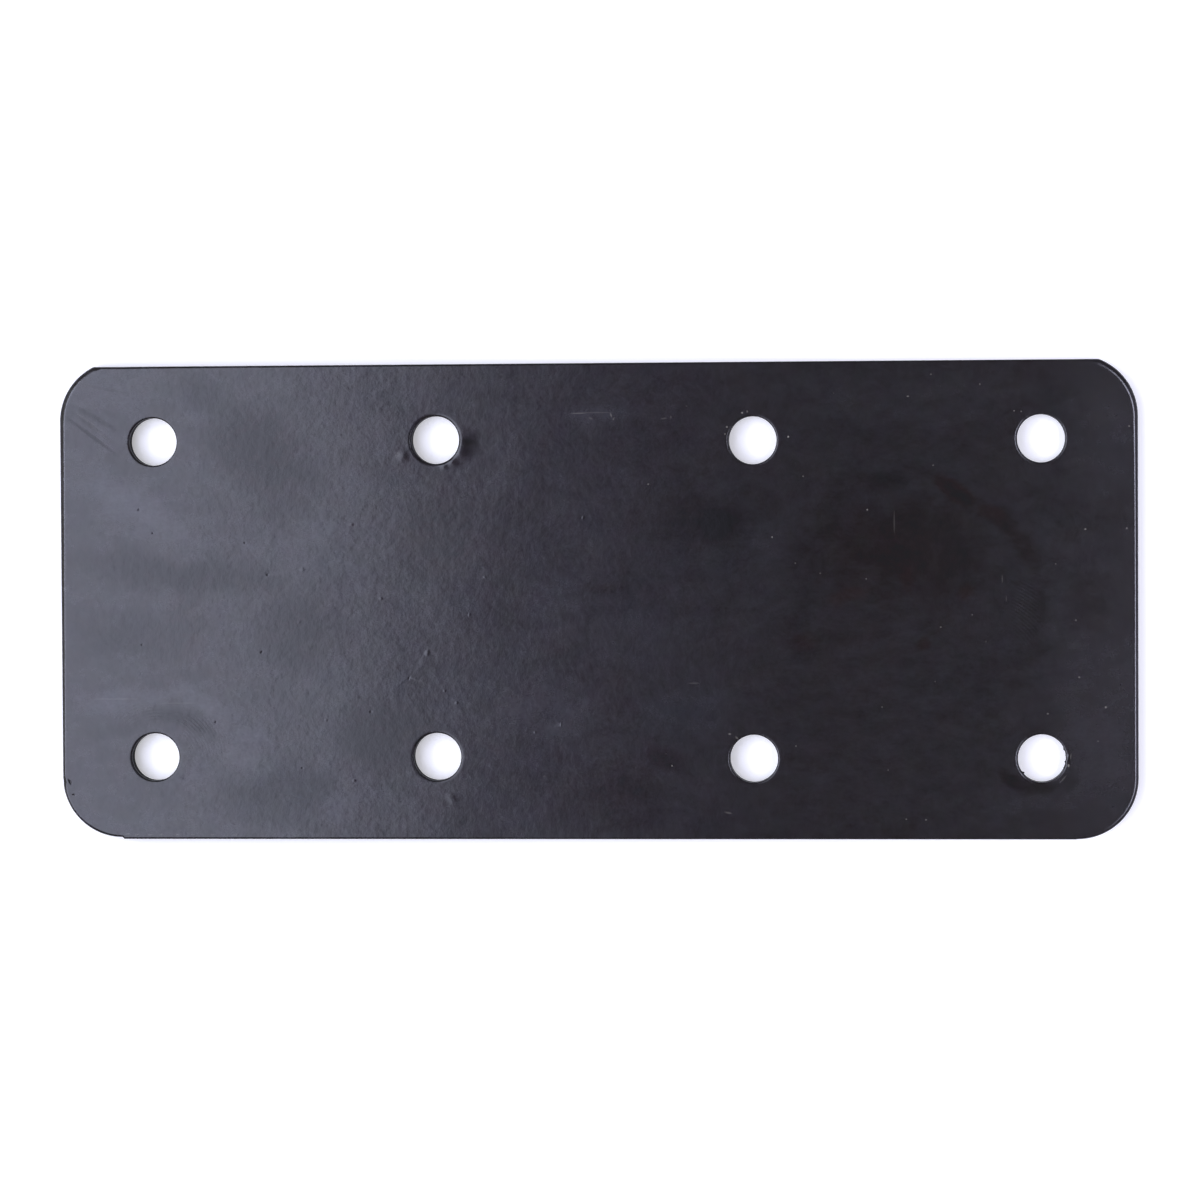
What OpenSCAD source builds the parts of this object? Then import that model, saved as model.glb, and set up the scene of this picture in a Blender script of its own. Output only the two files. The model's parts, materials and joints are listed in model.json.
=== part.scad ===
// Garden sleeper support plate.
// A length of flat steel bar, pierced with two rows of screw holes and cropped at both ends.
// The punches come down on the top face, so each cut edge is rolled over at the top,
// straight through its middle and broken back at the underside.
// The bar lay a little off the centre line of the tool, more so at the left end. The tool's
// corner arcs run out past the back edge of the bar, which leaves a sharp nip at each back
// corner, and they stop inside the front edge, which leaves a small shoulder there.
// Sizes are in millimetres. X runs along the bar, Y across it, and Z up from the underside.

/* [Flat bar] */
// Length of the finished plate
plate_l = 170; // [150:1:300]
// Width of the bar
bar_w = 75; // [65:1:120]
// Thickness of the bar
bar_t = 3; // [2:0.25:6]
// Radius of the bar's four rolled long edges
bar_edge_r = 0.3; // [0.1:0.05:0.6]

/* [Screw holes] */
// Diameter of the screw holes
hole_d = 7.5; // [5:0.25:12]
// Distance from each end to the middle of the outer holes
hole_end_margin = 15; // [12:0.5:25]
// Distance along the bar between the outer and the inner hole of each half
hole_pitch_x = 45; // [25:1:60]
// Distance across the bar between the two rows of holes
hole_pitch_y = 50; // [30:1:55]
// How far the left-hand holes sit off the bar's centre line
left_hole_shift = 0.55; // [0:0.05:1]
// How far the right-hand holes sit off the bar's centre line
right_hole_shift = 0.2; // [0:0.05:1]

/* [Cropped ends] */
// Radius of the cropping tool at the corners
corner_r = 9.5; // [5:0.5:15]
// How much wider the cropping tool is than the bar
crop_spare_w = 0.6; // [0.2:0.1:1]
// How far the tool sat off the bar's centre line at the left end
left_crop_shift = 0.6; // [0:0.05:1]
// How far the tool sat off the bar's centre line at the right end
right_crop_shift = 0.35; // [0:0.05:1]

/* [Cut edges] */
// Radius of the roll-over at the top of the cropped ends
end_roll_r = 0.8; // [0.2:0.05:0.9]
// Radius of the roll-over at the top of the screw holes
hole_roll_r = 0.35; // [0.1:0.05:0.7]
// Height of the broken-back band above the underside
break_h = 1; // [0.3:0.1:1.2]
// How far a cut edge is broken back at the underside
break_back = 0.2; // [0.05:0.05:0.4]

/* [Hidden] */
$fn = 96;

hole_r = hole_d / 2;
outer_hole_x = plate_l / 2 - hole_end_margin;
inner_hole_x = outer_hole_x - hole_pitch_x;
crop_w = bar_w + crop_spare_w;
corner_x = plate_l / 2 - corner_r;
corner_y = crop_w / 2 - corner_r;
// How far a cutting shape runs past the metal it cuts
cut_past = 1;

// Waste outside a quarter-round edge of radius r that is centred on the origin
module edge_waste(r) {
    difference() {
        square(r + cut_past);
        circle(r);
    }
}

// Section of the rolled bar, across its width and up its thickness
module bar_section() {
    translate([0, bar_t / 2])
        difference() {
            square([bar_w, bar_t], center = true);
            for (side = [0, 1], face = [0, 1])
                mirror([side, 0]) mirror([0, face])
                    translate([bar_w / 2 - bar_edge_r, bar_t / 2 - bar_edge_r])
                        edge_waste(bar_edge_r);
        }
}

// The bar before it is cropped, a little longer than the plate
module rolled_bar() {
    rotate([90, 0, 90])
        linear_extrude(plate_l + 2 * cut_past, center = true) bar_section();
}

// Section of a cropped edge: it runs outwards from 0 to reach
module cropped_section(reach) {
    difference() {
        polygon([
            [0, 0],
            [reach - break_back, 0],
            [reach, break_h],
            [reach, bar_t],
            [0, bar_t],
        ]);
        translate([reach - end_roll_r, bar_t - end_roll_r]) edge_waste(end_roll_r);
    }
}

// What the cropping tool leaves at the right end of the bar: a straight end between two corner arcs
module cropped_end(shift) {
    translate([corner_x, shift, 0]) {
        rotate([90, 0, 0])
            linear_extrude(2 * corner_y, center = true) cropped_section(corner_r);
        translate([0, corner_y, 0])
            rotate_extrude(angle = 90) cropped_section(corner_r);
        translate([0, -corner_y, 0])
            rotate([0, 0, -90])
                rotate_extrude(angle = 90) cropped_section(corner_r);
    }
}

// All that the two strokes of the cropping tool leave of an endless wide bar
module cropped_length() {
    clear_w = bar_w + 2 * cut_past;
    translate([-corner_x, -clear_w / 2, 0]) cube([2 * corner_x, clear_w, bar_t]);
    cropped_end(right_crop_shift);
    mirror([1, 0, 0]) cropped_end(left_crop_shift);
}

// Metal that a piercing punch takes out: rolled over at the top and wider at the underside
module pierced_hole() {
    rotate_extrude()
        difference() {
            polygon([
                [0, -cut_past],
                [hole_r + break_back, -cut_past],
                [hole_r + break_back, 0],
                [hole_r, break_h],
                [hole_r, bar_t - hole_roll_r],
                [hole_r + hole_roll_r, bar_t - hole_roll_r],
                [hole_r + hole_roll_r, bar_t + cut_past],
                [0, bar_t + cut_past],
            ]);
            translate([hole_r + hole_roll_r, bar_t - hole_roll_r]) circle(hole_roll_r);
        }
}

// The four holes of the right half
module pierced_half(shift) {
    for (x = [inner_hole_x, outer_hole_x], row = [-1, 1])
        translate([x, shift + row * hole_pitch_y / 2, 0]) pierced_hole();
}

// The plate: the bar, cropped at both ends and pierced
module support_plate() {
    color([0.15, 0.15, 0.16])
        difference() {
            intersection() {
                rolled_bar();
                cropped_length();
            }
            mirror([1, 0, 0]) pierced_half(left_hole_shift);
            pierced_half(right_hole_shift);
        }
}

support_plate();
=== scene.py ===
import json
import math

import bmesh
import bpy
import mathutils
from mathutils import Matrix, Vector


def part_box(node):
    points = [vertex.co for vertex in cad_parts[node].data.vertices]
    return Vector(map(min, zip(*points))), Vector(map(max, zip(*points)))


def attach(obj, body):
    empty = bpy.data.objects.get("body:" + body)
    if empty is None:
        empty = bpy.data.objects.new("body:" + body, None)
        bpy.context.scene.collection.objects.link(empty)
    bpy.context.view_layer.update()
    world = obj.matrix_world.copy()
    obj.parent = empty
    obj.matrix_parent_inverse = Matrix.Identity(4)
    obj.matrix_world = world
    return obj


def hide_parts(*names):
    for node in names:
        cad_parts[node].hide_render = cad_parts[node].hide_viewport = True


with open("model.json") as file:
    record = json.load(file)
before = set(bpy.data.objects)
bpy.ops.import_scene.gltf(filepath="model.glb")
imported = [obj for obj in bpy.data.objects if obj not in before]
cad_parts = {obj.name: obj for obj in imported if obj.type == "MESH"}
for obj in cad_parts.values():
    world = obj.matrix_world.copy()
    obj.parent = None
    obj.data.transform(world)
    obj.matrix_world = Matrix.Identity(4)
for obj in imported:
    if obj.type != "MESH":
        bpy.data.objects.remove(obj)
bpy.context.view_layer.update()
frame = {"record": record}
scene = bpy.context.scene
scene.view_settings.view_transform = "Standard"
bpy.ops.object.select_all(action="DESELECT")

# The floor is a broad sheet of matt white card that the plate lies on, with its punched face up.
# It is only the stage: it takes the plate's shadow and shows white round it and through the holes.
mm = 0.001
floor_size = 8
floor_gap = 0.02 * mm
floor_white = (0.82, 0.82, 0.82, 1)
# How much of its own light the card shows to the camera and in reflections, so that it looks white
floor_lift = 0.35
bpy.ops.mesh.primitive_plane_add(size=floor_size, location=(0, 0, -floor_gap))
floor = bpy.context.object
floor.name = "white_floor"
bpy.ops.object.transform_apply(location=True, rotation=True, scale=True)
card = bpy.data.materials.new("matt_white_card")
card.use_nodes = True
card_nodes = card.node_tree.nodes
card_links = card.node_tree.links
card_face = card_nodes["Principled BSDF"]
card_face.inputs["Base Color"].default_value = floor_white
card_face.inputs["Roughness"].default_value = 0.9
card_face.inputs["Specular IOR Level"].default_value = 0
card_face.inputs["Emission Color"].default_value = (1, 1, 1, 1)
seen_by = card_nodes.new("ShaderNodeLightPath")
camera_or_gloss = card_nodes.new("ShaderNodeMath")
camera_or_gloss.operation = "MAXIMUM"
card_links.new(seen_by.outputs["Is Camera Ray"], camera_or_gloss.inputs[0])
card_links.new(seen_by.outputs["Is Glossy Ray"], camera_or_gloss.inputs[1])
or_through = card_nodes.new("ShaderNodeMath")
or_through.operation = "MAXIMUM"
card_links.new(camera_or_gloss.outputs[0], or_through.inputs[0])
card_links.new(seen_by.outputs["Is Transmission Ray"], or_through.inputs[1])
card_lift = card_nodes.new("ShaderNodeMath")
card_lift.operation = "MULTIPLY"
card_lift.inputs[1].default_value = floor_lift
card_links.new(or_through.outputs[0], card_lift.inputs[0])
card_links.new(card_lift.outputs[0], card_face.inputs["Emission Strength"])
floor.data.materials.append(card)
floor.select_set(False)

# The plate is a length of hot rolled flat steel bar, cropped at both ends by a tool with round corners.
# The bar lay off the tool's centre line, so the back corners are nipped and the front ones shouldered.
# The cut ends are rolled over at the top and broken back below; the long edges keep the mill's round.
low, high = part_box("support_plate")
plate_l = high.x - low.x
bar_w = high.y - low.y
crop_spare_w = 0.6 * mm
tool_w = bar_w + crop_spare_w
corner_r = 9.5 * mm
corner_x = high.x - corner_r
corner_y = tool_w / 2 - corner_r
corner_steps = 24
long_edge_cuts = 75
end_edge_cuts = 112
right_shift = 0.35 * mm
left_shift = 0.6 * mm
shoulder_ramp = 0.3 * mm
break_h = 1 * mm
break_back = 0.2 * mm
widest_roll = 1.3 * mm
roll_flatness = 0.65
# Roll-over of each end: its width at the front and at the back, and how late it widens
right_roll = (0.6 * mm, 1.05 * mm, 8)
left_roll = (0.6 * mm, 1.3 * mm, 1)
back_round = 0.5 * mm
front_round = 0.45 * mm
lower_round = 0.3 * mm
roll_run_in = 1 * mm
roll_steps = 9
# The back edge has no points so close to a nip, where the roll-over runs out across it
nip_run = 3.3 * mm
near = 0.002 * mm
level_near = near / 20


def pick(kind, test):
    """In edit mode, selects only the verts, edges or faces whose every corner passes the test."""
    mesh = bmesh.from_edit_mesh(bpy.context.object.data)
    bpy.ops.mesh.select_all(action="DESELECT")
    for part in getattr(mesh, kind):
        corners = [part] if kind == "verts" else part.verts
        if all(test(corner.co) for corner in corners):
            part.select_set(True)
    mesh.select_flush_mode()
    bmesh.update_edit_mesh(bpy.context.object.data)


def cropped_half(side, shift):
    """One half of the bar as seen from above, to the right for side 1 or to the left for side -1."""
    bpy.ops.mesh.primitive_plane_add(size=1, location=(side * plate_l / 4, shift, high.z))
    half = bpy.context.object
    half.scale = (plate_l / 2, tool_w, 1)
    bpy.ops.object.transform_apply(location=True, rotation=True, scale=True)
    bpy.ops.object.mode_set(mode="EDIT")
    bpy.ops.mesh.select_mode(type="VERT")
    pick("verts", lambda p: abs(p.x) > plate_l / 4)
    bpy.ops.mesh.bevel(offset=corner_r, segments=corner_steps, affect="VERTICES")
    bpy.ops.mesh.select_all(action="SELECT")
    bpy.ops.mesh.bisect(plane_co=(0, high.y, 0), plane_no=(0, 1, 0), clear_outer=True, threshold=near)
    tool_front = shift - tool_w / 2
    bpy.ops.mesh.select_mode(type="EDGE")
    pick("edges", lambda p: abs(p.y - tool_front) < near)
    bpy.ops.mesh.extrude_region_move(TRANSFORM_OT_translate={"value": (0, low.y - tool_front, 0)})
    bpy.ops.mesh.select_mode(type="VERT")
    pick("verts", lambda p: abs(p.y - low.y) < near and abs(p.x) > plate_l / 4)
    bpy.ops.transform.translate(value=(-side * shoulder_ramp, 0, 0))
    bpy.ops.object.mode_set(mode="OBJECT")
    half.select_set(False)
    return half


plate = cropped_half(1, right_shift)
plate.name = "sleeper_plate"
left_half = cropped_half(-1, left_shift)
plate.select_set(True)
left_half.select_set(True)
bpy.context.view_layer.objects.active = plate
bpy.ops.object.join()
bpy.ops.object.mode_set(mode="EDIT")
bpy.ops.mesh.select_mode(type="VERT")
bpy.ops.mesh.select_all(action="SELECT")
bpy.ops.mesh.remove_doubles(threshold=near)
bpy.ops.mesh.select_mode(type="EDGE")
pick("edges", lambda p: abs(abs(p.y) - high.y) < near)
bpy.ops.mesh.subdivide(number_cuts=long_edge_cuts)
pick("edges", lambda p: abs(abs(p.x) - high.x) < near)
bpy.ops.mesh.subdivide(number_cuts=end_edge_cuts)
bpy.ops.mesh.select_mode(type="FACE")
bpy.ops.mesh.select_all(action="SELECT")
bpy.ops.mesh.dissolve_faces()
bpy.ops.mesh.select_mode(type="VERT")
pick("verts", lambda p: abs(p.x) < near and abs(p.y) < high.y - near)
bpy.ops.mesh.dissolve_verts()
pick("verts", lambda p: p.y > high.y - near and corner_x < abs(p.x) < corner_x + nip_run)
bpy.ops.mesh.dissolve_verts()
bpy.ops.mesh.select_mode(type="FACE")
bpy.ops.mesh.select_all(action="SELECT")
bpy.ops.mesh.dissolve_faces()
bpy.ops.mesh.extrude_region_move(TRANSFORM_OT_translate={"value": (0, 0, low.z - high.z)})
bpy.ops.mesh.select_all(action="SELECT")
bpy.ops.mesh.bisect(plane_co=(0, 0, break_h), plane_no=(0, 0, 1), threshold=near)
bpy.ops.mesh.select_all(action="SELECT")
bpy.ops.mesh.normals_make_consistent(inside=False)
bpy.ops.mesh.select_mode(type="VERT")
for side, shift in ((1, right_shift), (-1, left_shift)):
    for row in (1, -1):
        arc_y = shift + row * corner_y
        pick("verts", lambda p: p.z < near and p.x * side > corner_x - near
             and (p.y - arc_y) * row > -near and abs(p.y) < high.y - near)
        shrink = 1 - break_back / corner_r
        bpy.ops.transform.resize(value=(shrink, shrink, 1), center_override=(side * corner_x, arc_y, 0))
    pick("verts", lambda p: p.z < near and p.x * side > high.x - near)
    bpy.ops.transform.translate(value=(-side * break_back, 0, 0))
bpy.ops.object.mode_set(mode="OBJECT")


def edge_round(start, finish):
    """How wide the metal is rounded over along one edge of the outline."""
    on_back = min(start.y, finish.y) > high.y - near
    on_front = max(start.y, finish.y) < low.y + near
    if max(start.z, finish.z) < near:
        return lower_round if on_back or on_front else 0
    if min(start.z, finish.z) < high.z - near:
        return 0
    if on_back:
        return back_round
    if on_front:
        return front_round
    at_front, at_back, lateness = right_roll if start.x > 0 else left_roll
    in_from_front = (start.y + finish.y) / 2 - low.y
    full_roll = at_front + (at_back - at_front) * (in_from_front / bar_w) ** lateness
    return front_round + (full_roll - front_round) * min(in_from_front / roll_run_in, 1)


round_shares = plate.data.attributes.new("bevel_weight_edge", "FLOAT", "EDGE")
for edge in plate.data.edges:
    start, finish = [plate.data.vertices[corner].co for corner in edge.vertices]
    round_shares.data[edge.index].value = edge_round(start, finish) / widest_roll
bpy.ops.object.modifier_add(type="BEVEL")
rolled_edges = plate.modifiers[-1]
rolled_edges.limit_method = "WEIGHT"
rolled_edges.width = widest_roll
rolled_edges.segments = roll_steps
rolled_edges.use_clamp_overlap = False
bpy.ops.object.modifier_apply(modifier=rolled_edges.name)
bpy.ops.object.mode_set(mode="EDIT")
bpy.ops.mesh.select_mode(type="VERT")
pick("verts", lambda p: p.z > high.z - widest_roll - near)
bpy.ops.transform.resize(value=(1, 1, roll_flatness), center_override=(0, 0, high.z))
bpy.ops.mesh.select_mode(type="FACE")
pick("faces", lambda p: p.z > high.z - level_near)
bpy.ops.mesh.delete(type="FACE")
pick("faces", lambda p: p.z < level_near)
bpy.ops.mesh.delete(type="FACE")
bpy.ops.object.mode_set(mode="OBJECT")
plate.select_set(False)

# Eight plain screw holes are pierced by one punch and die, in two rows of four.
# The punch rolls the top rim over and leaves a bright straight land, and the metal tears wider below.
# Each hole is made as a collar that runs from the underside, up the wall and out over the top face.
hole_mounts = [mount for mount in frame["record"]["mounts"] if mount["kind"] == "bolt_pattern"]
hole_r = 3.75
land_top = 2.7
face_h = 3
hole_roll_w = 0.34
hole_roll_h = 0.3
hole_roll_steps = 8
# The inner back hole of the left half is worn, with its rim rolled over further
worn_hole_x = -25 * mm
worn_roll_w = 0.52
punch_drift = 0.04
collar_r = 8
collar_points = 96
# Rings of the torn wall and the land, in mm: radius, height and drift of the punch
wall_rings = [
    (hole_r + 0.2, 0, 0), (hole_r + 0.12, 0.3, 0), (hole_r + 0.04, 0.65, 0),
    (hole_r, 0.9, 0), (hole_r, 1.8, 0), (hole_r, land_top, 0),
]
face_rings = (4.38, 4.6, 4.9, 5.25, 5.7, 6.3, 7, collar_r)


def pierced_collar(x, y, roll_w):
    """The wall of one screw hole with a ring of the underside and of the top face round it."""
    rings = list(wall_rings)
    for step in range(1, hole_roll_steps + 1):
        turn = math.radians(90 * step / hole_roll_steps)
        out = 1 - math.cos(turn)
        rings.append((hole_r + roll_w * out, land_top + hole_roll_h * math.sin(turn), -punch_drift * out))
    rings += [(face_ring, face_h, -punch_drift) for face_ring in face_rings]
    bpy.ops.mesh.primitive_circle_add(vertices=collar_points, radius=collar_r * mm, location=(x, y, 0))
    collar = bpy.context.object
    bpy.ops.object.transform_apply(location=True, rotation=True, scale=True)
    bpy.ops.object.mode_set(mode="EDIT")
    bpy.ops.mesh.select_mode(type="EDGE")
    bpy.ops.mesh.select_all(action="SELECT")
    ring_r = collar_r * mm
    ring_z = 0
    ring_x = x
    for next_r, next_z, drift in rings:
        step = (x + drift * mm - ring_x, 0, next_z * mm - ring_z)
        bpy.ops.mesh.extrude_region_move(TRANSFORM_OT_translate={"value": step})
        ring_x = x + drift * mm
        ring_z = next_z * mm
        grow = next_r * mm / ring_r
        bpy.ops.transform.resize(value=(grow, grow, 1), center_override=(ring_x, y, 0))
        ring_r = next_r * mm
    bpy.ops.object.mode_set(mode="OBJECT")
    collar.select_set(False)
    return collar


collars = []
for mount in hole_mounts:
    middle_x, middle_y, _ = mount["pos_m"]
    for across in (1, -1):
        for along in (-1, 1):
            hole_x = middle_x + along * mount["dims"]["spacing_x_mm"] * mm / 2
            hole_y = middle_y + across * mount["dims"]["spacing_y_mm"] * mm / 2
            worn = across == 1 and abs(hole_x - worn_hole_x) < near
            collars.append(pierced_collar(hole_x, hole_y, worn_roll_w if worn else hole_roll_w))
for collar in collars:
    collar.select_set(True)
plate.select_set(True)
bpy.context.view_layer.objects.active = plate
bpy.ops.object.join()

# The punching and handling left marks in the steel: a lip raised beside one rim, burrs on another,
# and small lumps, dents and notches. In mm: a place, a move and how far round it the metal followed.
rim_marks = [
    ((-20.75, 25.2, 3), (0, 0, 0.17), 3.3),
    ((-21.1, 23.6, 3), (0, 0, 0.1), 2.4),
    ((-22.3, 22.1, 3), (0, 0, 0.08), 1.5),
    ((-23.5, 21.4, 3), (0, 0, 0.06), 0.9),
    ((-30.2, 23.1, 3), (0, 0, 0.1), 1.2),
    ((-84.7, -28.2, 2.9), (0.22, 0, -0.1), 0.8),
    ((-22.9, -30.8, 3), (0, 0, 0.07), 0.7),
    ((-63.4, 27.6, 3), (0, 0, -0.06), 0.6),
    ((-65.2, -27.6, 3), (0, 0, -0.06), 0.6),
    ((-63.7, -24.6, 3), (0, 0, -0.05), 0.6),
    ((74.5, -26.4, 3), (0, 0, 0.05), 0.6),
    ((72.6, -28.6, 3), (0, 0, 0.05), 0.6),
    ((73.5, -23.3, 2.65), (-0.2, -0.04, 0), 0.5),
    ((73.7, -24.3, 2.65), (-0.12, 0, 0), 0.4),
    ((73.75, -25.2, 2.65), (-0.26, 0, 0), 0.6),
    ((73.5, -26.3, 2.65), (-0.16, 0.04, 0), 0.4),
    ((74, -25.4, 2.95), (0.1, 0, -0.12), 0.4),
    ((73.9, -24.2, 2.95), (0.08, 0, -0.1), 0.35),
    ((67.1, -27, 2.65), (0.24, 0.18, 0), 0.45),
    ((61.9, 37.4, 2.95), (0, 0, -0.12), 0.8),
]
bpy.ops.object.mode_set(mode="EDIT")
bpy.ops.mesh.select_mode(type="VERT")
for place, move, spread in rim_marks:
    metal = bmesh.from_edit_mesh(plate.data)
    bpy.ops.mesh.select_all(action="DESELECT")
    spot = mathutils.Vector(place) * mm
    min(metal.verts, key=lambda vert: (vert.co - spot).length).select_set(True)
    bmesh.update_edit_mesh(plate.data)
    bpy.ops.transform.translate(
        value=[step * mm for step in move], use_proportional_edit=True,
        proportional_edit_falloff="SHARP", proportional_size=spread * mm)
bpy.ops.object.mode_set(mode="OBJECT")
plate.select_set(False)

# The coat has pits where gas came out in the oven, nibs where dust was baked in, and two small gouges.
# Each is a shallow dent or dome in the top face: place, length, width, turn in degrees and height, in mm.
coat_spots = [
    (-72.3, 14.8, 0.75, 0.6, 20, -0.05), (-70.1, 11.1, 0.6, 0.45, 0, -0.04),
    (-55.4, 9.5, 0.6, 0.5, 0, -0.04), (-52.8, -7.8, 0.9, 0.6, 30, -0.04),
    (-51.8, 4.4, 0.7, 0.5, 0, -0.035), (-29.4, -12, 0.8, 0.5, 60, -0.035),
    (-60.3, -18.9, 0.6, 0.5, 0, -0.04), (-46.3, 5.2, 1.2, 1.2, 0, 0.02), (-26.5, -8, 1.4, 1.1, 70, 0.035),
    (-72, -6.6, 0.6, 0.5, 0, -0.035), (-46.9, -3.1, 0.8, 0.8, 0, 0.014), (-38.4, 12.3, 1, 0.8, 0, 0.016),
    (-21.9, -15.9, 0.8, 0.7, 0, 0.02), (-23.8, -14, 0.7, 0.6, 0, 0.018),
    (-42.7, -18.6, 0.8, 0.7, 0, 0.016), (-33.8, 0.6, 0.9, 0.8, 0, 0.016),
    (-17.3, 3.9, 0.8, 0.6, 0, 0.014), (-35.5, -17.3, 0.8, 0.6, 0, -0.03),
    (-83.8, -28.4, 1.4, 0.5, -58, -0.1), (-83.2, -30.4, 0.8, 0.35, 0, -0.07),
    (-63.3, 27.5, 0.6, 0.45, 0, -0.05), (-19.8, -2, 0.8, 0.5, 80, 0.02),
    (-1.7, 13.2, 0.9, 0.6, 70, 0.018), (-5.4, -19.4, 0.9, 0.4, 80, 0.02),
    (-38.3, -28.2, 0.9, 0.7, 0, 0.025), (-9.5, -20.6, 0.6, 0.5, 0, 0.02),
    (-46.5, -26.2, 0.6, 0.5, 0, -0.04),
]
spot_points = 16
spot_shares = (0.84, 0.68, 0.52, 0.36, 0.2, 0.08)
spots = []
for spot_x, spot_y, length, width, turn, rise in coat_spots:
    bpy.ops.mesh.primitive_circle_add(
        vertices=spot_points, radius=0.5 * mm, location=(spot_x * mm, spot_y * mm, high.z),
        rotation=(0, 0, math.radians(turn)))
    spot = bpy.context.object
    spot.scale = (length, width, 1)
    bpy.ops.object.transform_apply(location=True, rotation=True, scale=True)
    bpy.ops.object.mode_set(mode="EDIT")
    bpy.ops.mesh.select_mode(type="EDGE")
    bpy.ops.mesh.select_all(action="SELECT")
    share = 1
    level = 0
    for next_share in spot_shares:
        next_level = rise * (0.5 + 0.5 * math.cos(math.pi * next_share))
        bpy.ops.mesh.extrude_region_move(
            TRANSFORM_OT_translate={"value": (0, 0, (next_level - level) * mm)})
        shrink = next_share / share
        bpy.ops.transform.resize(
            value=(shrink, shrink, 1), center_override=(spot_x * mm, spot_y * mm, high.z))
        share = next_share
        level = next_level
    bpy.ops.mesh.edge_face_add()
    bpy.ops.object.mode_set(mode="OBJECT")
    spot.select_set(False)
    spots.append(spot)
for spot in spots:
    spot.select_set(True)
plate.select_set(True)
bpy.context.view_layer.objects.active = plate
bpy.ops.object.join()
smooth_angle = math.radians(40)
bpy.ops.object.mode_set(mode="EDIT")
bpy.ops.mesh.select_mode(type="EDGE")
for on_top in (True, False):
    bpy.ops.mesh.select_all(action="DESELECT")
    bpy.ops.mesh.select_non_manifold(extend=False)
    outline = bmesh.from_edit_mesh(plate.data)
    for edge in outline.edges:
        if edge.select and (edge.verts[0].co.z > high.z / 2) != on_top:
            edge.select_set(False)
    bmesh.update_edit_mesh(plate.data)
    bpy.ops.mesh.fill(use_beauty=True)
bpy.ops.mesh.select_all(action="SELECT")
bpy.ops.mesh.dissolve_degenerate(threshold=near)
bpy.ops.mesh.select_all(action="SELECT")
bpy.ops.mesh.normals_make_consistent(inside=False)
bpy.ops.object.mode_set(mode="OBJECT")
bpy.ops.object.shade_smooth_by_angle(angle=smooth_angle)
bpy.ops.object.modifier_add(type="WEIGHTED_NORMAL")
flat_faces_lead = plate.modifiers[-1]
flat_faces_lead.keep_sharp = True
bpy.ops.object.modifier_apply(modifier=flat_faces_lead.name)
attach(plate, "root")
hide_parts("support_plate")
plate.select_set(False)

# The finish is a black powder coat, sprayed on dry and baked, semi-gloss with a fine orange peel.
# Hands and rubbing have left thin hazy smears on it, and storage left dust, specks and hairlines.
# Under the coat the cut edges still show shear lines on the land and a torn grain below it.
# Painted into the colour as well: the soft box's sheen on the left half and at the right end, and shade in
# the cut walls, beside a raised lip and in a burred rim.
coat_black = (0.009, 0.0073, 0.0082)
# The haze tint is bluish like the soft box, because the haze also paints that box's sheen.
haze_and_sheen_tint = (0.96, 0.98, 1.1)
brown_tint = (0.1, -0.7, -1)
speck_tint = (1.1, 1.04, 0.86)
darkest = 0.0015
plain_gloss = 0.165
clean_rim_gloss = 0.14
coat = bpy.data.materials.new("black_powder_coat")
coat.use_nodes = True
coat_nodes = coat.node_tree.nodes
coat_links = coat.node_tree.links
coat_face = coat_nodes["Principled BSDF"]
place = coat_nodes.new("ShaderNodeTexCoord").outputs["Object"]
place_parts = coat_nodes.new("ShaderNodeSeparateXYZ")
coat_links.new(place, place_parts.inputs["Vector"])


def feed(socket, value):
    """Links a node's output to the socket, or sets the socket to a plain value."""
    if isinstance(value, bpy.types.NodeSocket):
        coat_links.new(value, socket)
    else:
        socket.default_value = value


def calc(operation, first, second=0.0, third=0.0):
    """One Math node."""
    made = coat_nodes.new("ShaderNodeMath")
    made.operation = operation
    for socket, value in zip(made.inputs, (first, second, third)):
        feed(socket, value)
    return made.outputs["Value"]


def vector_calc(operation, first, second=(0, 0, 0), third=(0, 0, 0), scale=1.0):
    """One Vector Math node."""
    made = coat_nodes.new("ShaderNodeVectorMath")
    made.operation = operation
    for socket, value in zip(made.inputs, (first, second, third, scale)):
        feed(socket, value)
    return made.outputs["Value" if operation == "LENGTH" else "Vector"]


def ease(value, start, finish, low_end=0.0, high_end=1.0):
    """A smooth change from low_end to high_end while the value goes from start to finish."""
    made = coat_nodes.new("ShaderNodeMapRange")
    made.interpolation_type = "SMOOTHSTEP"
    made.clamp = False
    for socket, number in zip(made.inputs, (value, start, finish, low_end, high_end)):
        feed(socket, number)
    return made.outputs["Result"]


def noise(vector, scale, detail=1.0, kind="Fac", harshness=0.5):
    """Soft noise with features of about one part in scale of a metre."""
    made = coat_nodes.new("ShaderNodeTexNoise")
    feed(made.inputs["Vector"], vector)
    made.inputs["Scale"].default_value = scale
    made.inputs["Detail"].default_value = detail
    made.inputs["Roughness"].default_value = harshness
    return made.outputs[kind]


def oval(vector, x, y, half_l, half_w, turn):
    """0 in the middle of an oval mark on the face and 1 at its edge; sizes in mm."""
    if turn:
        made = coat_nodes.new("ShaderNodeVectorRotate")
        made.rotation_type = "Z_AXIS"
        feed(made.inputs["Vector"], vector)
        made.inputs["Center"].default_value = (x * mm, y * mm, 0)
        made.inputs["Angle"].default_value = math.radians(-turn)
        vector = made.outputs["Vector"]
    grow = (1 / (half_l * mm), 1 / (half_w * mm), 0)
    return vector_calc("LENGTH", vector_calc("MULTIPLY_ADD", vector, grow, (-x / half_l, -y / half_w, 0)))
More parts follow.
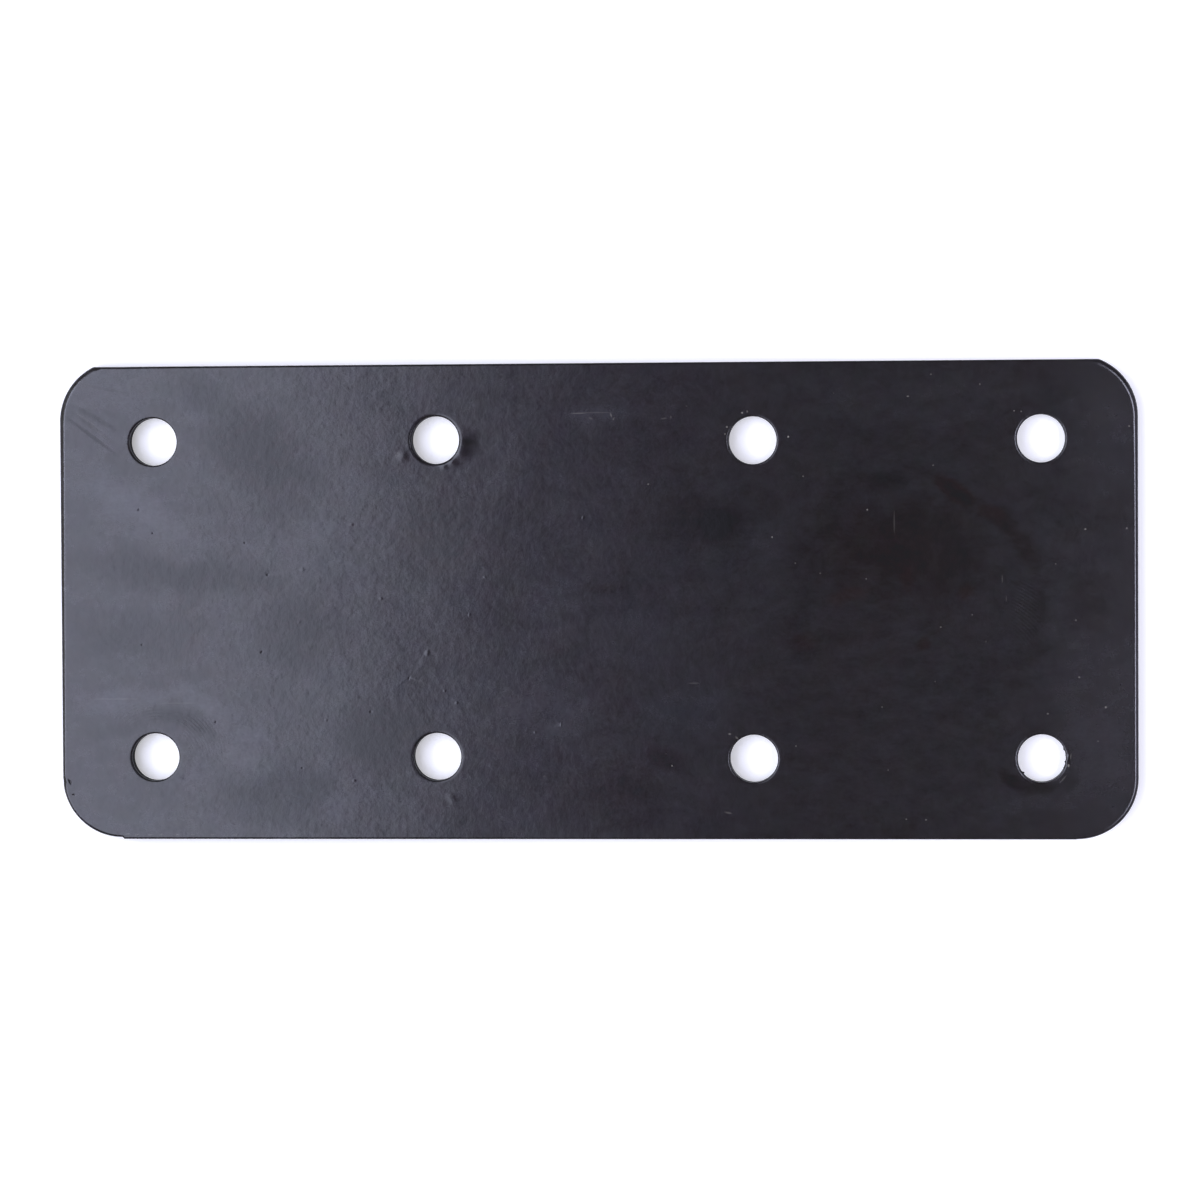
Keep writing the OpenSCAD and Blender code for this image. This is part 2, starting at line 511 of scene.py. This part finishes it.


# Hazy smears, painted sheen and painted shade: middle x and y, half length and half width in mm, turn in
# degrees, haze and painted light, and brown, in thousandths
smears_and_painted_light = [
    # On the left half, under the soft box's reflection, the pale bluish smears and the darker bands
    # between them are painted sheen, light and dark patches of that reflection; the brown in some is
    # stain.
    (-73, 15.8, 16, 4.2, -29, 16, 0), (-40.2, 9.9, 16.7, 13.3, 0, 4, 0), (-48, 17, 10, 8, 0, -5, 0),
    (-66, 4.8, 24, 4.6, -5, -8, 0), (-71.5, 11.8, 14, 4.5, -29, 9, 0), (-75.6, -5, 10.7, 5.8, 0, -6, 0),
    (-54.5, 25.5, 10.7, 9, 0, -9, 3), (-62.4, 32.9, 6.2, 4.9, 0, -6, -2), (-76, 34, 11, 5, 0, 9, 0),
    (-63, -27, 7, 6, 0, 4, 0), (-65.1, -5.1, 5.8, 9.3, 0, -2, 4), (-74.8, -15, 10.2, 2.4, 8, 18, 0),
    (-62.8, -15.7, 8, 2.4, -30, 20, 0), (-55.7, -23, 6.5, 8, 10, 13, 0),
    (-76.2, -19.6, 9.3, 2, 12, -4, 0), (-65.7, -18.6, 8, 2, -20, -9, 0), (-75, -27.3, 8.9, 6.7, 0, -1, 0),
    (-50.5, -30, 14, 7, 0, -8, -3), (-40.6, -31.6, 3.6, 4.9, -20, 11, 0), (-34.1, -21, 11.6, 8, 0, -9, 1),
    (-25.1, 10.6, 10.2, 8, 0, -6, 1), (-16.4, 19.2, 5.8, 2.7, 0, 5, 0), (0.3, 29.3, 7.1, 2, 0, 6, -1),
    (1.5, 2.6, 5.5, 1.5, 0, -3, 1.5), (-6, 0.3, 9, 5, 0, 4, 0), (-47, -5, 10, 9, 0, -6, 0),
    # (-19.2, 25) is painted shade: it darkens the raised lip beside the worn inner back hole of the left
    # half.
    (-8, -17, 11, 7.5, 0, 8, 0), (-19.2, 25, 2.6, 3.4, 0, -6, 0), (15.1, 12, 11.6, 6.2, 0, -5, 0),
    (7.3, 23.8, 10.2, 5.3, 30, -1, 0), (8.7, -6.1, 11.6, 8, 0, 2.5, -1), (15, -17.1, 12, 7.1, 0, 3, -1.5),
    (0.7, -30.5, 13.8, 7.1, 0, -4, 1), (27.4, 9.5, 5.3, 7.1, 0, 3, -0.5), (32.3, -3, 2.7, 13.8, 0, -2, 0),
    (36.3, 13.4, 2.7, 10.2, -28, -3, 0), (43.7, 18.9, 8.4, 2.4, 0, -4, 0),
    (42.1, 7.9, 11.6, 11.6, 0, -3.5, 1), (53.9, 7.9, 12, 11, 0, -5, 1),
    (56.6, 16.8, 4.4, 2.2, -38, -6, 6), (62, 13, 2.8, 1.6, -25, -1, 4), (48.6, 4, 1.8, 4, 10, 0, 3),
    (39.8, 0.3, 4.6, 1.8, 12, 0, 3), (32.9, -6.6, 2.6, 1.8, 0, 0, 2.5), (51.4, -7, 1.8, 1.6, 0, -4, 3),
    (66, 9.4, 2.4, 7.6, 32, -4.5, 1), (69.1, -2.8, 2.2, 10.2, 0, -3.5, 0),
    (64.3, -10.3, 6, 2.2, 32, -1.5, 0), (77.8, -0.4, 6, 7, 0, -4.5, 0.5),
    (68.9, -34.4, 8, 4.4, 20, -4, 0), (19.5, 11.6, 4, 4, 0, -7, 0), (27.1, 14.7, 3.2, 3.4, 0, -3, 0),
    # (65.6, -28.1), (69.4, -29.4) and (74.4, -28) darken the coat below the front right hole.
    (11.8, -24.8, 4, 3, 0, -5, 1), (57.6, 1.1, 2, 1.8, 0, 0, 3), (65.6, -28.1, 3, 1.5, -20, -8, 0),
    # (79.5, 25), (79, -25) and (78.5, -15) are painted sheen: they lighten the right end as the right
    # box's reflection does.
    (69.4, -29.4, 4, 1.4, 0, -9, 0), (74.4, -28, 1.6, 2.6, -30, -5, 0), (79.5, 25, 9, 13, 0, 4, 0),
    (79, -25, 8, 10, 0, 3.5, 0), (78.5, -15, 12, 30, 0, 5, 0), (50, 31.5, 24, 7, 0, 3, 0),
    (68, -33, 10, 7, 0, 5, 0),
]
# Scratches, scuffs, dust and one painted shade: middle x and y, half length and half width in mm, turn,
# haze and painted shade in thousandths
handling_marks_and_painted_shade = [
    (-77.6, 34, 5.2, 0.4, -11, -10), (-72.4, 32.4, 3.6, 0.5, -24, -4), (-79.2, 29.4, 6.2, 0.6, -30, -8),
    (-79.9, 26.6, 7.2, 0.45, -37, -13), (-79.3, 27.7, 5, 0.5, -37, -6), (-78.6, 31, 4, 0.8, -28, -4),
    (-80.6, 29.1, 3.6, 0.3, -36, 12), (-78.5, 27, 4, 0.25, -37, 9), (-74.6, -36.7, 0.6, 0.2, 0, 30),
    (-73.1, -36.8, 0.5, 0.2, 0, 34), (-71, -36.8, 0.7, 0.2, 0, 26), (-69.2, -36.8, 0.4, 0.2, 0, 30),
    (-66.7, -36.8, 0.6, 0.2, 0, 28), (-64.2, -36.8, 0.5, 0.2, 0, 24), (-61, -36.8, 0.7, 0.2, 0, 22),
    (-57.4, -36.8, 0.6, 0.2, 0, 22), (-2.4, 29.6, 1.6, 0.14, 0, 50), (0.3, 29.7, 3.6, 0.12, 0, 26),
    (-0.4, 28.8, 0.5, 0.2, -20, 32), (2.8, 29.3, 0.18, 0.5, 20, 60), (3.2, 28.7, 0.16, 0.4, -25, 45),
    (11.1, 28.7, 0.6, 0.18, 8, 30), (12.2, 28.9, 0.18, 0.3, 0, 34), (47.1, 12.3, 0.16, 2.5, 0, 22),
    (20.9, -33.3, 0.8, 0.2, -12, 45), (15.6, -12.9, 1.1, 0.18, 0, 24), (23.4, 29.5, 0.22, 0.19, 0, 151),
    (21, 27.3, 0.25, 0.2, 0, 110), (30.6, 25.7, 0.19, 0.19, 0, 220), (20.7, 26.2, 0.19, 0.15, 0, 103),
    (65.8, 29.5, 0.19, 0.15, 0, 89), (66.9, 29.4, 0.15, 0.15, 0, 89), (8.6, 18.4, 0.19, 0.19, 0, 82),
    (28, 10, 0.19, 0.19, 0, 117), (42.9, 14.2, 0.19, 0.19, 0, 131), (32.9, 19.5, 0.19, 0.15, 0, 76),
    (49.3, 31.9, 0.27, 0.15, 0, 103), (52.9, 35.3, 0.19, 0.15, 0, 62), (60.5, 33.7, 0.15, 0.19, 0, 69),
    (53.2, 21.1, 0.19, 0.15, 0, 62), (31.6, 5.9, 0.15, 0.15, 0, 69), (35.5, 4.3, 0.19, 0.19, 0, 41),
    (76.8, 11, 0.21, 0.19, 0, 117), (83.2, 11.1, 0.19, 0.19, 0, 110), (72.2, 5.6, 0.15, 0.15, 0, 62),
    (75.3, -3.2, 0.19, 0.19, 0, 62), (75.8, -12.1, 0.21, 0.19, 0, 89), (79.9, -16.8, 0.21, 0.21, 0, 144),
    (83.6, 27, 0.21, 0.19, 0, 96), (78.7, -22.1, 0.19, 0.15, 0, 48), (54.3, -4.2, 0.19, 0.15, 0, 82),
    (59.2, -2.3, 0.15, 0.15, 0, 55), (42.7, 3.4, 0.19, 0.15, 0, 62), (12.1, -25.9, 0.19, 0.19, 0, 110),
    (31.6, -22.8, 0.19, 0.15, 0, 76), (21.2, -20.9, 0.31, 0.19, 0, 89), (48.8, -34.3, 0.19, 0.15, 0, 76),
    (51.9, -34.4, 0.21, 0.15, 0, 82), (46, -26.6, 0.15, 0.15, 0, 48), (45.1, -16.7, 0.19, 0.15, 0, 55),
    (63.9, 3.3, 0.16, 0.8, 0, 26), (64.5, 0.2, 0.16, 0.6, 0, 20), (70.9, -17.8, 0.25, 0.2, 0, 60),
    (22.3, -21.5, 0.4, 0.2, -35, 60), (24.2, 29.7, 0.2, 0.25, 0, 70), (21.9, 27.3, 0.2, 0.16, 0, 60),
    # (74.15, -24.8) is painted shade: it darkens the burred right rim of the front right hole.
    (74.1, -25.9, 0.2, 0.32, 0, 130), (74.15, -24.8, 0.4, 1.6, 0, -12), (74.45, -24.5, 0.14, 0.7, -6, 40),
    (73.3, -28, 0.9, 0.16, 50, 34), (-31, 23.3, 0.8, 0.5, 40, 14), (-76.5, -15.2, 5, 0.22, 0, 16),
    (-66.2, -15.9, 4, 0.22, 0, 14),
]
# The mottle and the blotches are up to 2.8 times as strong on the left half, where the soft box's sheen
# lies: that extra is painted sheen.
left_sheen_gain = ease(place_parts.outputs["X"], -60 * mm, 30 * mm, 2.8, 1)
soft_edges = vector_calc("SUBTRACT", noise(place, 110, 2, "Color"), (0.5, 0.5, 0.5))
smear_and_sheen_place = vector_calc("MULTIPLY_ADD", soft_edges, (4 * mm, 4 * mm, 0), place)
streak_place = vector_calc("MULTIPLY", place, (0.65, 1, 1))
mottle_and_sheen = calc("SUBTRACT", noise(streak_place, 420, 3, harshness=0.9), 0.5)
mottle_and_sheen = calc("MULTIPLY", calc("MULTIPLY", mottle_and_sheen, 0.02), left_sheen_gain)
haze_and_painted_light = 0.0
brown = calc("MULTIPLY", calc("SUBTRACT", noise(place, 35, 2), 0.5), 0.0025)
for x, y, half_l, half_w, turn, haze_and_light_part, brown_part in smears_and_painted_light:
    mark = ease(oval(smear_and_sheen_place, x, y, half_l, half_w, turn), 1, 0.25)
    if haze_and_light_part:
        haze_and_painted_light = calc("MULTIPLY_ADD", mark, haze_and_light_part * mm, haze_and_painted_light)
    if brown_part:
        brown = calc("MULTIPLY_ADD", mark, brown_part * mm, brown)
specks = 0.0
for x, y, half_l, half_w, turn, haze_and_light_part in handling_marks_and_painted_shade:
    mark = ease(oval(place, x, y, half_l, half_w, turn), 1, 0.3)
    if haze_and_light_part > 0:
        specks = calc("MULTIPLY_ADD", mark, haze_and_light_part * mm, specks)
    else:
        haze_and_painted_light = calc("MULTIPLY_ADD", mark, haze_and_light_part * mm, haze_and_painted_light)

# Ridged finger smudges beside the front left hole and inside the right end: middle x and y, half length
# and half width in mm, turn, and the middle of the rings
ridge_scale = 640
ridge_bend = 1.5
ridge_haze = 0.008
finger_smudges = [
    (-62, -21.4, 6, 5, -30, -69.5, -25.3), (-73.3, -17.8, 6, 2.4, 0, -69.5, -25.3),
    (67.5, -2, 3, 7, 0, 60, -12),
]
for x, y, half_l, half_w, turn, middle_x, middle_y in finger_smudges:
    ring_place = vector_calc("SUBTRACT", place, (middle_x * mm, middle_y * mm, 0))
    ridges = coat_nodes.new("ShaderNodeTexWave")
    ridges.wave_type = "RINGS"
    ridges.rings_direction = "Z"
    feed(ridges.inputs["Vector"], ring_place)
    ridges.inputs["Scale"].default_value = ridge_scale
    ridges.inputs["Distortion"].default_value = ridge_bend
    ridge_mark = calc("SUBTRACT", ridges.outputs["Fac"], 0.5)
    ridge_mark = calc("MULTIPLY", ridge_mark, ease(oval(place, x, y, half_l, half_w, turn), 1, 0.4))
    haze_and_painted_light = calc("MULTIPLY_ADD", ridge_mark, ridge_haze, haze_and_painted_light)

# Fine pale dust, thicker on the right half: some cells hold a speck, of a radius up to dust_r of a cell
dust_scale = 260
dust_r = 0.045
dust = coat_nodes.new("ShaderNodeTexVoronoi")
feed(dust.inputs["Vector"], place)
dust.inputs["Scale"].default_value = dust_scale
dust_pick = coat_nodes.new("ShaderNodeSeparateColor")
coat_links.new(dust.outputs["Color"], dust_pick.inputs["Color"])
dust_size = ease(dust_pick.outputs["Red"], 0.6, 1, 0, dust_r)
dust_spot = calc("GREATER_THAN", dust_size, dust.outputs["Distance"])
dust_spot = calc("MULTIPLY", dust_spot, ease(place_parts.outputs["X"], -30 * mm, 30 * mm, 0.3, 1))
specks = calc("MULTIPLY_ADD", dust_spot, ease(dust_pick.outputs["Green"], 0, 1, 0.005, 0.045), specks)

# Colour: the black with fine blotches, partly painted sheen on the left half, then the haze with the
# painted sheen and shade, the specks and the brown stains over it
blotch_and_sheen = vector_calc("SUBTRACT", noise(place, 220, 3, "Color", 0.8), (0.5, 0.5, 0.5))
blotch_and_sheen = vector_calc("MULTIPLY", blotch_and_sheen, calc("MULTIPLY", left_sheen_gain, 0.5))
tone = vector_calc("MULTIPLY_ADD", blotch_and_sheen, coat_black, coat_black)
tone = vector_calc("MULTIPLY_ADD", calc("ADD", haze_and_painted_light, mottle_and_sheen), haze_and_sheen_tint, tone)
tone = vector_calc("MULTIPLY_ADD", specks, speck_tint, tone)
tone = vector_calc("MULTIPLY_ADD", brown, brown_tint, tone)
tone = vector_calc("MAXIMUM", tone, (darkest, darkest, darkest))
# Painted shade: the cut walls and the lower part of the rolled edges are darkened to 0.6 of their colour.
painted_wall_shade = ease(place_parts.outputs["Z"], 2.5 * mm, 2.9 * mm, 0.6, 1)
tone = vector_calc("SCALE", tone, (0, 0, 0), (0, 0, 0), painted_wall_shade)
coat_links.new(tone, coat_face.inputs["Base Color"])

# Gloss: dull on the cut walls, and duller where hands have rubbed the left half and where its painted
# sheen is darker
smear_gloss = ease(place_parts.outputs["X"], -45 * mm, -5 * mm, -10, 0)
gloss_loss = calc("MULTIPLY_ADD", calc("MINIMUM", haze_and_painted_light, 0), smear_gloss, plain_gloss)
gloss_loss = calc("MULTIPLY_ADD", noise(streak_place, 90, 3), 0.05, gloss_loss)
cut_wall = ease(place_parts.outputs["Z"], 2.5 * mm, 2.8 * mm, 1, clean_rim_gloss)
coat_links.new(calc("MAXIMUM", gloss_loss, cut_wall), coat_face.inputs["Roughness"])

# Heights in mm: a slow wave of the rolled face, orange peel, and the cut edges
peel_depth = ease(place_parts.outputs["X"], -75 * mm, -15 * mm, 0.035, 0.017)
relief = calc("MULTIPLY", noise(place, 55, 1), 0.1)
relief = calc("MULTIPLY_ADD", noise(place, 820, 2), peel_depth, relief)
shear_place = vector_calc("MULTIPLY", place, (1, 1, 0.05))
on_land = ease(place_parts.outputs["Z"], 2.2 * mm, 2.65 * mm, 0.02, 0)
relief = calc("MULTIPLY_ADD", noise(shear_place, 2600, 2), on_land, relief)
on_tear = ease(place_parts.outputs["Z"], 0.8 * mm, 1.1 * mm, 0.06, 0)
relief = calc("MULTIPLY_ADD", noise(place, 1700, 3), on_tear, relief)
relief_bump = coat_nodes.new("ShaderNodeBump")
relief_bump.inputs["Distance"].default_value = mm
coat_links.new(relief, relief_bump.inputs["Height"])
coat_links.new(relief_bump.outputs["Normal"], coat_face.inputs["Normal"])
plate.data.materials.clear()
plate.data.materials.append(coat)

# The light is a studio's: a broad soft box hangs over the left of the plate and lies in its coat from the
# middle leftwards, with two weaker strips along its edge and one beyond it. A narrow box with a grid on it
# draws the pale line in the right-hand rims, and a dim white wall stands at each side.
cool_white = (0.92, 0.96, 1.22)
box_h = 0.7
box_l = 0.9
wall_x = 1.2
wall_middle_h = 0.68
wall_size = (0.95, 1.4)
grid_spread = math.radians(60)


def soft_light(name, place, size, power, colour, lean=0):
    """One lamp behind white cloth, in metres and watts, facing down or leaning by degrees about Y."""
    bpy.ops.object.light_add(type="AREA", location=place, rotation=(0, math.radians(lean), 0))
    lamp = bpy.context.object
    lamp.name = name
    lamp.data.shape = "RECTANGLE"
    lamp.data.size, lamp.data.size_y = size
    lamp.data.energy = power
    lamp.data.color = colour
    return lamp


soft_light("left_soft_box", (-0.446, 0, box_h), (0.54, box_l), 5.35, cool_white)
soft_light("left_soft_box_rim", (-0.146, 0, box_h), (0.06, box_l), 0.52, cool_white)
soft_light("left_soft_box_hem", (-0.073, 0, box_h), (0.086, box_l), 0.044, (1, 0.78, 1.75))
soft_light("left_strip", (-0.68, 0, 0.68), (0.1, box_l), 2, cool_white, -40)
soft_light("left_wall", (-wall_x, 0, wall_middle_h), wall_size, 2.8, (1, 1, 1), -90)
right_box = soft_light("right_soft_box", (0.36, 0, 0.66), (0.22, 0.64), 1.5, (0.93, 0.94, 1.2))
right_box.data.spread = grid_spread
soft_light("right_wall", (wall_x, 0, wall_middle_h), wall_size, 2, (0.9, 0.9, 1.25), 90)
world = bpy.data.worlds.new("dim_room")
world.use_nodes = True
room = world.node_tree.nodes["Background"]
room.inputs["Color"].default_value = (1, 0.97, 1.06, 1)
room.inputs["Strength"].default_value = 0.2
scene.world = world

# The camera looks straight down from above the right half, a little nearer the back edge.
camera_place = (47.4 * mm, 18.65 * mm, 630.26 * mm)
camera_turn = (math.radians(-1.702), math.radians(4.23), math.radians(-0.345))
camera_data = bpy.data.cameras.new("camera")
camera = bpy.data.objects.new("camera", camera_data)
scene.collection.objects.link(camera)
camera_data.sensor_width = 36
camera_data.lens = 120
camera_data.clip_start = 0.01
camera_data.clip_end = 50
camera.location = camera_place
camera.rotation_euler = camera_turn
scene.camera = camera
